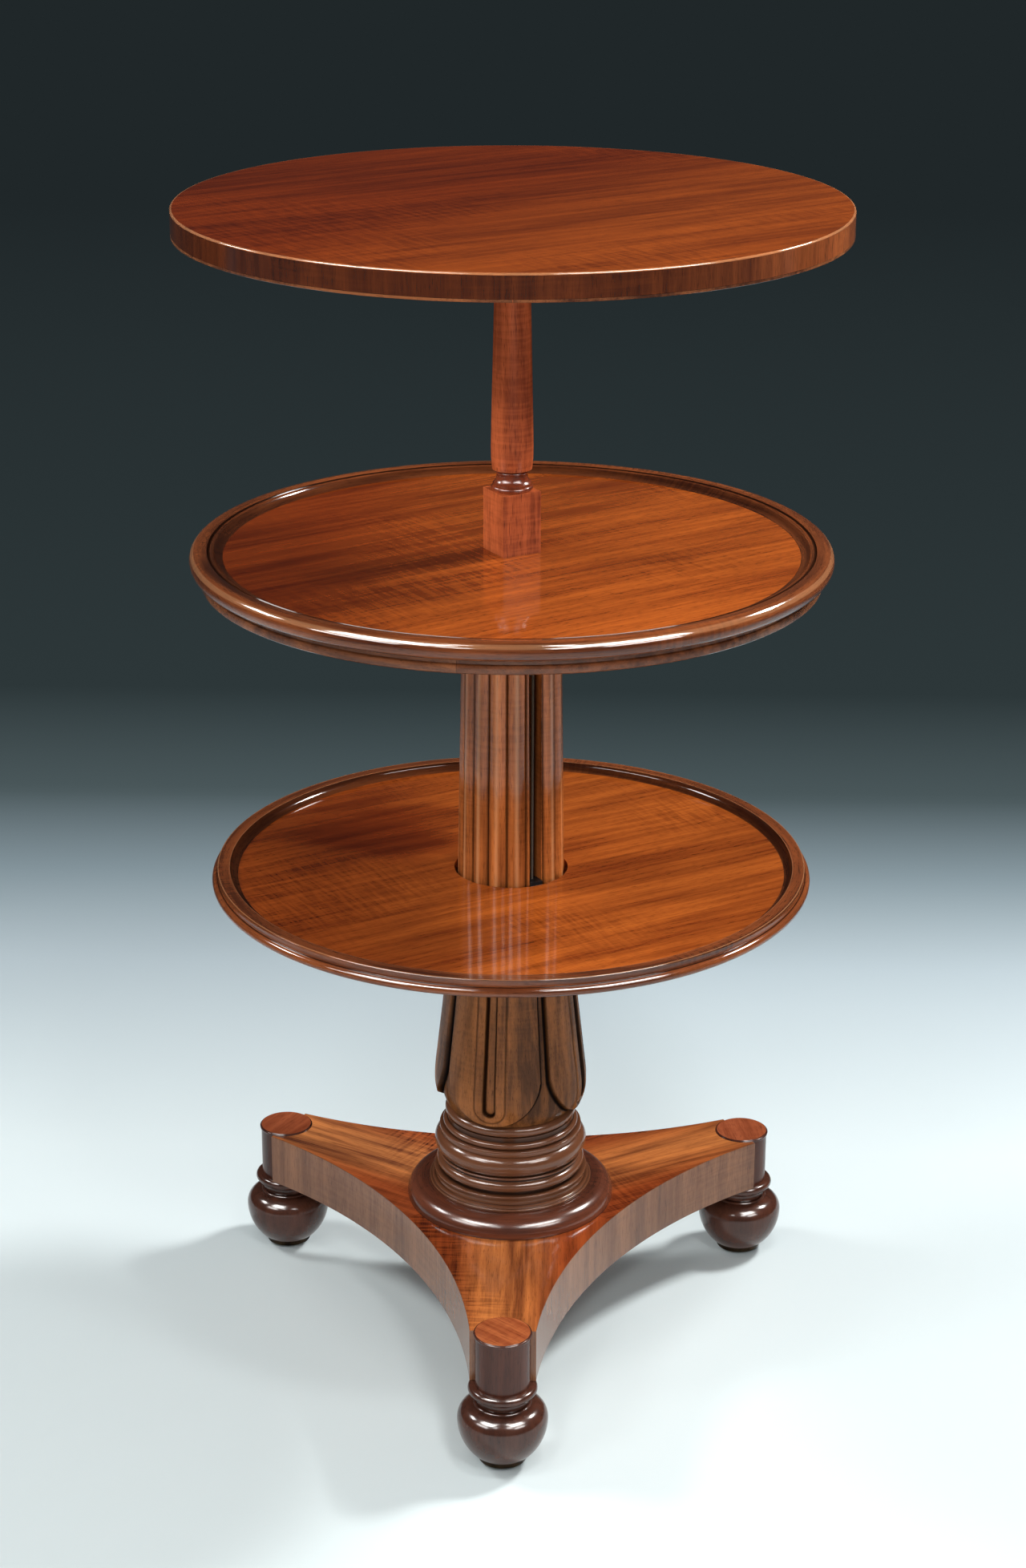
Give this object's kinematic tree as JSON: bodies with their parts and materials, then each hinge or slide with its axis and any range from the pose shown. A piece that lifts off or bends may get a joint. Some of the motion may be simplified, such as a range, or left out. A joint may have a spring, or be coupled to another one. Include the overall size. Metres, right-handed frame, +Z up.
{
  "type": "telescopic tiered table",
  "caption": "Tiered telescopic table in turned mahogany, shown raised, with round tiers on a sliding column above a concave-sided platform on bun feet with hidden casters.",
  "frame": {"origin": "on the floor, on the axis of the column", "axes": "+Z up along the column; the front foot points to -Y; +X to the right of someone who faces the front foot"},
  "size_m": [0.61, 0.6226, 1.128],
  "materials": {
    "figured_mahogany": "french polished",
    "mahogany": "french polished",
    "dark_mahogany": "french polished",
    "brass": "dull, aged",
    "steel": "drawn",
    "iron": "filed, dark",
    "cord": "braided"
  },
  "bodies": {
    "base": {"platform": "dark_mahogany", "corner_post_1": "dark_mahogany", "corner_post_2": "dark_mahogany", "corner_post_3": "dark_mahogany", "foot_1": "dark_mahogany", "foot_2": "dark_mahogany", "foot_3": "dark_mahogany", "cushion_ring": "dark_mahogany", "vase_column": "mahogany", "lower_bearer": "mahogany", "lower_bearer_screws": "brass", "lower_board": "figured_mahogany", "lower_rim": "mahogany", "guide_collar": "dark_mahogany", "guide_keys": "iron", "well_cover": "mahogany", "well_cover_screws": "brass", "caster_cup_1": "brass", "caster_cup_2": "brass", "caster_cup_3": "brass", "cord_outer_run": "cord"},
    "middle_stage": {"reeded_column": "mahogany", "middle_boss": "mahogany", "middle_boss_screws": "brass", "middle_board": "figured_mahogany", "middle_rim": "mahogany", "middle_lower_ring": "dark_mahogany", "pulley_axles": "steel", "friction_springs": "steel", "friction_spring_screws": "brass", "cord_inner_run": "cord", "cord_over_pulley": "cord"},
    "top_stage": {"slender_shaft": "mahogany", "shaft_foot_plate": "iron", "shaft_foot_screws": "brass", "top_bearer": "mahogany", "top_bearer_screws": "brass", "top_board": "figured_mahogany", "top_edge_band": "dark_mahogany", "top_lipping": "mahogany"},
    "pulley_1": {"pulley_1": "brass"},
    "pulley_2": {"pulley_2": "brass"},
    "fork_1": {"caster_fork_1": "brass", "caster_axle_1": "steel"},
    "wheel_1": {"caster_wheel_1": "brass"},
    "fork_2": {"caster_fork_2": "brass", "caster_axle_2": "steel"},
    "wheel_2": {"caster_wheel_2": "brass"},
    "fork_3": {"caster_fork_3": "brass", "caster_axle_3": "steel"},
    "wheel_3": {"caster_wheel_3": "brass"}
  },
  "joints": [
    {"name": "middle_slide", "type": "slide", "parent": "base", "child": "middle_stage", "axis": [0, 0, 1], "range_m": [-0.285, 0], "deforming": ["cord_outer_run"]},
    {"name": "top_slide", "type": "slide", "parent": "middle_stage", "child": "top_stage", "axis": [0, 0, 1], "range_m": [-0.285, 0], "deforming": ["cord_inner_run"]},
    {"name": "pulley_1_spin", "type": "hinge", "parent": "middle_stage", "child": "pulley_1", "pos_m": [0.01635, -0.02832, 0.7885], "axis": [0.866, 0.5, 0], "range_deg": [-1870, 1]},
    {"name": "pulley_2_spin", "type": "hinge", "parent": "middle_stage", "child": "pulley_2", "pos_m": [-0.01635, 0.02832, 0.7885], "axis": [-0.866, -0.5, 0], "range_deg": [-1870, 1]},
    {"name": "caster_swivel_1", "type": "hinge", "parent": "base", "child": "fork_1", "pos_m": [0, -0.275, 0.03], "axis": [0, 0, 1], "continuous": true},
    {"name": "caster_wheel_1_spin", "type": "hinge", "parent": "fork_1", "child": "wheel_1", "pos_m": [0, -0.2715, 0.013], "axis": [1, 0, 0], "continuous": true},
    {"name": "caster_swivel_2", "type": "hinge", "parent": "base", "child": "fork_2", "pos_m": [0.23816, 0.1375, 0.03], "axis": [0, 0, 1], "continuous": true},
    {"name": "caster_wheel_2_spin", "type": "hinge", "parent": "fork_2", "child": "wheel_2", "pos_m": [0.23513, 0.13575, 0.013], "axis": [-0.5, 0.866, 0], "continuous": true},
    {"name": "caster_swivel_3", "type": "hinge", "parent": "base", "child": "fork_3", "pos_m": [-0.23816, 0.1375, 0.03], "axis": [0, 0, 1], "continuous": true},
    {"name": "caster_wheel_3_spin", "type": "hinge", "parent": "fork_3", "child": "wheel_3", "pos_m": [-0.23513, 0.13575, 0.013], "axis": [-0.5, -0.866, 0], "continuous": true}
  ],
  "couplings": [
    {"joint": "top_slide", "follows": "middle_slide", "ratio": 1},
    {"joint": "pulley_1_spin", "follows": "middle_slide", "rad_per_m": 114.29},
    {"joint": "pulley_2_spin", "follows": "middle_slide", "rad_per_m": 114.29}
  ]
}
